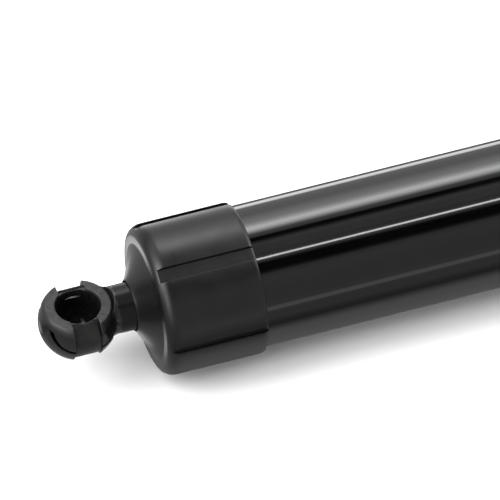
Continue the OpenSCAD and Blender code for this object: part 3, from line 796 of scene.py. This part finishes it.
def groove_columns(sleeve_r):
    """The angle of each column of points in degrees, and how far it is sunk into a groove, from 0 to 1."""
    per_mm = math.degrees(1 / sleeve_r)
    columns = []
    for middle, following in zip(GROOVES, GROOVES[1:] + (GROOVES[0] + 360,)):
        begin, end = middle - GROOVE_ANGLE / 2, middle + GROOVE_ANGLE / 2
        columns += [(begin + along * per_mm, sunk) for along, sunk in GROOVE_EDGE]
        columns += [(v, 1.0) for v in np.linspace(begin, end, GROOVE_STEPS)[1:-1]]
        columns += [(end - along * per_mm, sunk) for along, sunk in reversed(GROOVE_EDGE)]
        between = np.linspace(end, following - GROOVE_ANGLE / 2, BETWEEN_STEPS)[1:-1]
        columns += [(v, 0.0) for v in between]
    return columns


def add_cap(end, body, tube_r):
    """One end's cap. Its material reads which points are on a groove's wall."""
    sleeve_ir = tube_r + CAP_CLEAR
    top, low = cap_outline(sleeve_ir)
    columns = groove_columns(sleeve_ir + CAP_WALL)
    points = []
    deep = [math.dist(a, b) > GROOVE_DEPTH / 10 for a, b in zip(top, low)]
    walls = np.array([WALL_FROM <= sunk < 1 and far for _, sunk in columns for far in deep], np.float32)
    for angle, sunk in columns:
        t = math.radians(angle)
        for (x, r), (gx, gr) in zip(top, low):
            px, pr = x + (gx - x) * sunk, r + (gr - r) * sunk
            points.append((px, -pr * math.cos(t), pr * math.sin(t)))
    faces = grid_faces(len(columns), len(top))
    obj = mesh_object(f"{end}_cap_moulding", at_end(points, end == "lower"), faces, body,
                      [f"{end}_end_cap"], CAP, angle=60)
    obj.data.attributes.new("wall", "FLOAT", "POINT").data.foreach_set("value", walls)
    recalculate(obj)


# Tubes and guide bush

BEAD_MID, BEAD_LEN, BEAD_DEPTH, TUBE_WALL, TUBE_EDGE_R = 28.4, 3.0, 0.8, 1.0, 0.3
# Rings close to the bead and to the end keep the smooth shading of the long stretch straight
CLOSE_RINGS, LONG_RINGS = (0.5, 1.0), (0.35, 0.55, 0.75)


def add_tubes():
    """Both outer tubes, each with the bead that holds its end plug."""
    half = BEAD_LEN / 2
    for name, node, body, r, start, end, lower in (
            ("cover_sleeve", "cover_tube", "cover_end", COVER_R, COVER_START, COVER_END, False),
            ("housing_sleeve", "housing_tube", "housing_end", HOUSING_R,
             SPAN - HOUSING_END, SPAN - INNER_END, True)):
        bead = [(BEAD_MID - half, 0), (BEAD_MID - half / 2, -BEAD_DEPTH), (BEAD_MID + half / 2, -BEAD_DEPTH),
                (BEAD_MID + half, 0)]
        rings = [bead[-1][0] + ahead for ahead in CLOSE_RINGS]
        rings += [start + (end - start) * t for t in LONG_RINGS]
        rings += [end - back for back in reversed(CLOSE_RINGS)] + [end]
        outer = [(start, r)] + [(x, r + d) for x, d in bead] + [(x, r) for x in rings]
        inner = [(x, q - TUBE_WALL) for x, q in outer]
        outline = outer + inner[::-1]
        if lower:
            outline = [(SPAN - x, q) for x, q in outline]
        turned(name, outline, body, PAINT, [node], segments=256, radius=TUBE_EDGE_R)


BUSH_CLEAR, BUSH_T, BUSH_BEVEL, BUSH_EDGE_R, WIPER_T, WIPER_HALF = 0.05, 1.1, 0.4, 0.12, 1.3, 0.8


def add_bush():
    """The guide bush in the cover tube's mouth, with the wiper ring's groove in its nose."""
    start = place("cover_guide_bush")[0][0]
    inner = HOUSING_R + BUSH_CLEAR
    mid = COVER_END + (NOSE_END - COVER_END) / 2
    outline = [
        (start, inner), (start, inner + BUSH_T), (COVER_END, inner + BUSH_T), (COVER_END, COVER_R),
        (NOSE_END - BUSH_BEVEL, COVER_R), (NOSE_END, COVER_R - BUSH_BEVEL), (NOSE_END, inner),
        (mid + WIPER_HALF, inner), (mid + WIPER_HALF, inner + WIPER_T),
        (mid - WIPER_HALF, inner + WIPER_T), (mid - WIPER_HALF, inner),
    ]
    turned("guide_bush_moulding", outline, "cover_end", NYLON, ["cover_guide_bush"],
           radius=BUSH_EDGE_R)


# Helper spring

WIRE_R, TURNS, CLOSED_PITCH, CLOSED_TURNS, BLEND_TURNS = 1.5, 32, 3.6, 1, 0.5
SPRING_SIDES, SPRING_STEPS = 16, 28


def add_spring():
    """The coil, with a nearly closed turn at each end."""
    start, end = SPRING_LOW[0], SPRING_HIGH[0]
    coil_r = SPRING_HIGH[2] - WIRE_R
    length = end - start - 2 * WIRE_R
    open_turns = TURNS - 2 * CLOSED_TURNS - BLEND_TURNS
    open_pitch = (length - CLOSED_PITCH * (2 * CLOSED_TURNS + BLEND_TURNS)) / open_turns

    def half_way(t):
        """How far the wire's middle has come along X after t turns from the nearer end."""
        if t < CLOSED_TURNS:
            return CLOSED_PITCH * t
        if t < CLOSED_TURNS + BLEND_TURNS:
            u = t - CLOSED_TURNS
            return CLOSED_PITCH * t + (open_pitch - CLOSED_PITCH) * u * u / (2 * BLEND_TURNS)
        half = BLEND_TURNS / 2
        return CLOSED_PITCH * (CLOSED_TURNS + half) + open_pitch * (t - CLOSED_TURNS - half)

    points = []
    rings = TURNS * SPRING_STEPS
    for i in range(rings + 1):
        t = i / SPRING_STEPS
        along = half_way(t) if t < TURNS / 2 else length - half_way(TURNS - t)
        a = 2 * math.pi * t
        for k in range(SPRING_SIDES):
            s = 2 * math.pi * k / SPRING_SIDES
            r = coil_r + WIRE_R * math.cos(s)
            points.append((start + WIRE_R + along + WIRE_R * math.sin(s), r * math.cos(a), r * math.sin(a)))
    faces = tube_faces(rings + 1, SPRING_SIDES)
    obj = mesh_object("helper_coil", points, faces, "cover_end", ["helper_spring"], SPRING)
    recalculate(obj)
    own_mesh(obj)


add_ball_sockets()
add_clips()
add_cap("upper", "cover_end", COVER_R)
add_cap("lower", "housing_end", HOUSING_R)
add_tubes()
add_bush()
add_spring()


# Floor and light

# The table's corners and its gap below the strut, in metres
TABLE_LOW, TABLE_HIGH, TABLE_GAP = (-2, -2.2), (2.6, 2.2), 0.0001


def add_plane(name, material):
    """A large flat plane just under the strut."""
    z = FLOOR_Z * MM - TABLE_GAP
    (x0, y0), (x1, y1) = TABLE_LOW, TABLE_HIGH
    mesh = bpy.data.meshes.new(name)
    mesh.from_pydata([(x0, y0, z), (x1, y0, z), (x1, y1, z), (x0, y1, z)], [], [(0, 1, 2, 3)])
    mesh.materials.append(material)
    obj = bpy.data.objects.new(name, mesh)
    bpy.context.scene.collection.objects.link(obj)
    return obj


def ramp(tree, value, stops):
    """A value by linear stops of [place, value], from a socket that goes from the first place to the last."""
    low, high = stops[0][0], stops[-1][0]
    node = add(tree, "ShaderNodeValToRGB")
    tree.links.new(map_range(tree, value, low, high, 0, 1), node.inputs["Fac"])
    most = max(v for _, v in stops)
    elements = node.color_ramp.elements
    elements.remove(elements[-1])
    for i, (place_at, v) in enumerate(stops):
        position = (place_at - low) / (high - low)
        element = elements[0] if i == 0 else elements.new(position)
        element.position = position
        element.color = (*grey(v / most), 1)
    return product(tree, node.outputs["Color"], most)


# The stand-in table's painted brightness as glossy surfaces see it, by Y in millimetres: beside the tube, and
# past its ends. Its dark stretches are painted shadows of the strut, and its bright bands are painted
# reflections of lit table
TABLE_SIDE = [
    (-300, 0.6), (-230, 0.6), (-205, 1.15), (-122, 1.15), (-106, 0.56), (-84, 0.52), (-57, 0.48),
    (-47, 0.3), (-39, 0.19), (-34, 0.45), (-28, 0.74), (-22, 0.57), (-17, 0.38), (-14, 0.25),
    (-11, 0.17), (-4, 0.08), (10, 0.08), (24, 0.13), (50, 0.18), (70, 0.22), (86, 0.4), (102, 2.8),
    (220, 3.3), (260, 1.1), (340, 0.8), (400, 0.8),
]
TABLE_ENDS = [
    (-300, 0.5), (-60, 0.45), (-30, 0.5), (-12, 0.45), (-6, 0.42), (0, 0.36), (7, 0.38), (13, 0.12),
    (20, 0.2), (27, 0.45), (43, 0.6), (60, 0.7), (400, 0.8),
]
# Where the one gives way to the other: the distance from a ball's centre inwards
TABLE_CHANGE = (23, 15)
# Painted bright spots near an end, which give the cap and socket painted highlights: distance from the ball's
# centre inwards, Y, the two reaches, brightness. Each fades over this range of the squared distance in
# reaches.
PAINTED_TABLE_SPOTS = [(9.5, 2.5, 6.0, 6.5, 1.0), (6.0, 32.5, 8.5, 9.5, 2.1), (-22.0, 18.0, 8.0, 7.0, 0.7)]
SPOT_FADE = (1, 0.4)


def add_table():
    """A pale table, and a glowing stand-in for it that only reflections see, with painted shadows and painted
    bright spots.
    """
    pale, tree, shader = new_material("pale_table", grey(0.83), 0.9, specular=0.0)
    colour = blend_colours(tree, noise(tree, object_coords(tree), 5, 2.0), grey(0.82), grey(0.84))
    tree.links.new(colour, shader.inputs["Base Color"])
    table = add_plane("table", pale)
    table.visible_glossy = False

    painted_reflection = bpy.data.materials.new("painted_table_reflection")
    painted_reflection.use_nodes = True
    tree = painted_reflection.node_tree
    tree.nodes.clear()
    metres = split_axes(tree, add(tree, "ShaderNodeTexCoord").outputs["Object"])
    along, across = (math_node(tree, "DIVIDE", value, MM) for value in metres[:2])
    inwards = math_node(tree, "SUBTRACT", SPAN / 2, distance_from(tree, along, SPAN / 2))
    side, past = ramp(tree, across, TABLE_SIDE), ramp(tree, across, TABLE_ENDS)
    for spot_x, spot_y, reach_x, reach_y, bright in PAINTED_TABLE_SPOTS:
        off_x = math_node(tree, "DIVIDE", math_node(tree, "SUBTRACT", inwards, spot_x), reach_x)
        off_y = math_node(tree, "DIVIDE", math_node(tree, "SUBTRACT", across, spot_y), reach_y)
        far = add_values(tree, product(tree, off_x, off_x), product(tree, off_y, off_y), 1)
        past = add_values(tree, past, rise(tree, far, *SPOT_FADE), bright)
    # The stand-in glows with this painted brightness; it is no lamp, and nothing lights it
    glow = add(tree, "ShaderNodeEmission")
    value = blend_values(tree, rise(tree, inwards, *TABLE_CHANGE), side, past)
    tree.links.new(value, glow.inputs["Strength"])
    output = add(tree, "ShaderNodeOutputMaterial")
    tree.links.new(glow.outputs["Emission"], output.inputs["Surface"])
    below = add_plane("painted_table_in_reflections", painted_reflection)
    for kind in ("camera", "diffuse", "transmission", "volume_scatter", "shadow"):
        setattr(below, f"visible_{kind}", False)


# Directions are told by their turn round the strut, in degrees from the front horizon over the top to the
# back horizon, and by their X. The tube mirrors a narrow band of X towards the camera.
MIRRORED_X, WHOLE_TURN = 0.21, 360
# Brightness by the turn, in that band and aside from it
SKY = [
    (-130, 0.6), (-20, 0.55), (0, 0.55), (20, 0.55), (40, 0.62), (46, 0.5), (50, 0.12), (53, 0.02),
    (65, 0.015), (67.5, 0.4), (69, 0.75), (75, 0.75), (79, 0.45), (83, 0.6), (92, 0.6), (97, 0.75),
    (101, 0.3), (104, 0.02), (109.5, 0.02), (111.5, 0.75), (115, 0.8), (117, 1.3), (120, 3.6),
    (124, 7.3), (129, 9.0), (134, 5.4), (140, 3.2), (150, 2.0), (160, 1.15), (172, 0.9), (180, 0.85),
    (230, 0.85),
]
SKY_ASIDE = [
    (-130, 0.6), (40, 0.6), (52, 0.1), (72, 0.1), (82, 0.5), (115, 0.8), (125, 2.0), (134, 1.9),
    (145, 1.1), (155, 0.5), (230, 0.5),
]
# How far aside one gives way to the other
SKY_BAND = (0.12, 0.045)
# Each light's brightness, and its edges as (what is measured, 0 at, 1 at). "aside" is the distance of X from
# the mirrored band, and "matte" is 1 where the light falls on a matte surface.
LIGHTS = [
    # A thin strip, only in the band
    (14.0, [("turn", 70.9, 71.9), ("turn", 74.3, 73.3), ("aside", 0.04, 0.02)]),
    # Overhead, to both sides of the band
    (5.4, [("turn", 74, 84), ("turn", 112, 101), ("aside", 0.35, 0.55)]),
    # A soft box at the left, and one at the right
    (3.8, [("turn", -6, 54), ("turn", 122, 108), ("x", -0.4, -0.55), ("x", -0.93, -0.8)]),
    (2.0, [("turn", 60, 80), ("turn", 145, 130), ("x", 0.45, 0.6), ("x", 0.9, 0.8)]),
    # A fill from above the front, for matte surfaces alone
    (2.1, [("turn", 54, 61), ("turn", 80, 73), ("matte", 0, 1)]),
]
BACKGROUND = 1.15


def add_world():
    """The studio's light, and the plain white that the camera sees behind the table."""
    world = bpy.data.worlds.new("studio")
    world.use_nodes = True
    bpy.context.scene.world = world
    tree = world.node_tree
    tree.nodes.clear()
    x, y, z = split_axes(tree, add(tree, "ShaderNodeTexCoord").outputs["Generated"])
    path = add(tree, "ShaderNodeLightPath")
    # The turn is counted from the sky's first stop, so that the cut lies below the back of the table
    before_front = -SKY[0][0]
    turn = math_node(tree, "ARCTAN2", z, product(tree, y, -1))
    turn = math_node(tree, "ADD", math_node(tree, "DEGREES", turn), before_front)
    turn = math_node(tree, "SUBTRACT", math_node(tree, "FLOORED_MODULO", turn, WHOLE_TURN), before_front)
    aside = distance_from(tree, x, MIRRORED_X)
    measures = {"turn": turn, "x": x, "aside": aside, "matte": path.outputs["Is Diffuse Ray"]}
    in_band = rise(tree, aside, *SKY_BAND)
    light = blend_values(tree, in_band, ramp(tree, turn, SKY_ASIDE), ramp(tree, turn, SKY))
    for bright, edges in LIGHTS:
        shares = [rise(tree, measures[name], start, end) for name, start, end in edges]
        light = math_node(tree, "ADD", light, product(tree, *shares, bright))
    lit = add(tree, "ShaderNodeBackground")
    tree.links.new(light, lit.inputs["Strength"])
    seen = add(tree, "ShaderNodeBackground", Strength=BACKGROUND)
    for background in (lit, seen):
        background.inputs["Color"].default_value = (1, 1, 1, 1)
    either = add(tree, "ShaderNodeMixShader")
    for value, socket in zip((path.outputs["Is Camera Ray"], lit.outputs[0], seen.outputs[0]), either.inputs):
        tree.links.new(value, socket)
    tree.links.new(either.outputs[0], add(tree, "ShaderNodeOutputWorld").inputs["Surface"])


add_table()
add_world()


# Camera

# A long lens, nearly parallel as the photo's is: angles in radians, lengths in metres, lens and sensor in mm
AZIMUTH, ELEVATION, DISTANCE = math.radians(-18.4), math.radians(48.6), 4.8256
LENS, SENSOR, CLIP_START, CLIP_END = 1400, 36, 0.5, 500
TARGET = Vector((0.0476, 0.0082, -0.00012))


def add_camera():
    """The camera at the photograph's viewing angle."""
    level = math.cos(ELEVATION)
    back = Vector((math.sin(AZIMUTH) * level, -math.cos(AZIMUTH) * level, math.sin(ELEVATION)))
    data = bpy.data.cameras.new("camera")
    data.lens = LENS
    data.sensor_width = SENSOR
    data.clip_start = CLIP_START
    data.clip_end = CLIP_END
    camera = bpy.data.objects.new("camera", data)
    bpy.context.scene.collection.objects.link(camera)
    camera.location = TARGET + back * DISTANCE
    camera.rotation_euler = back.to_track_quat("Z", "Y").to_euler()
    bpy.context.scene.camera = camera


add_camera()
bpy.context.scene.view_settings.view_transform = "Standard"
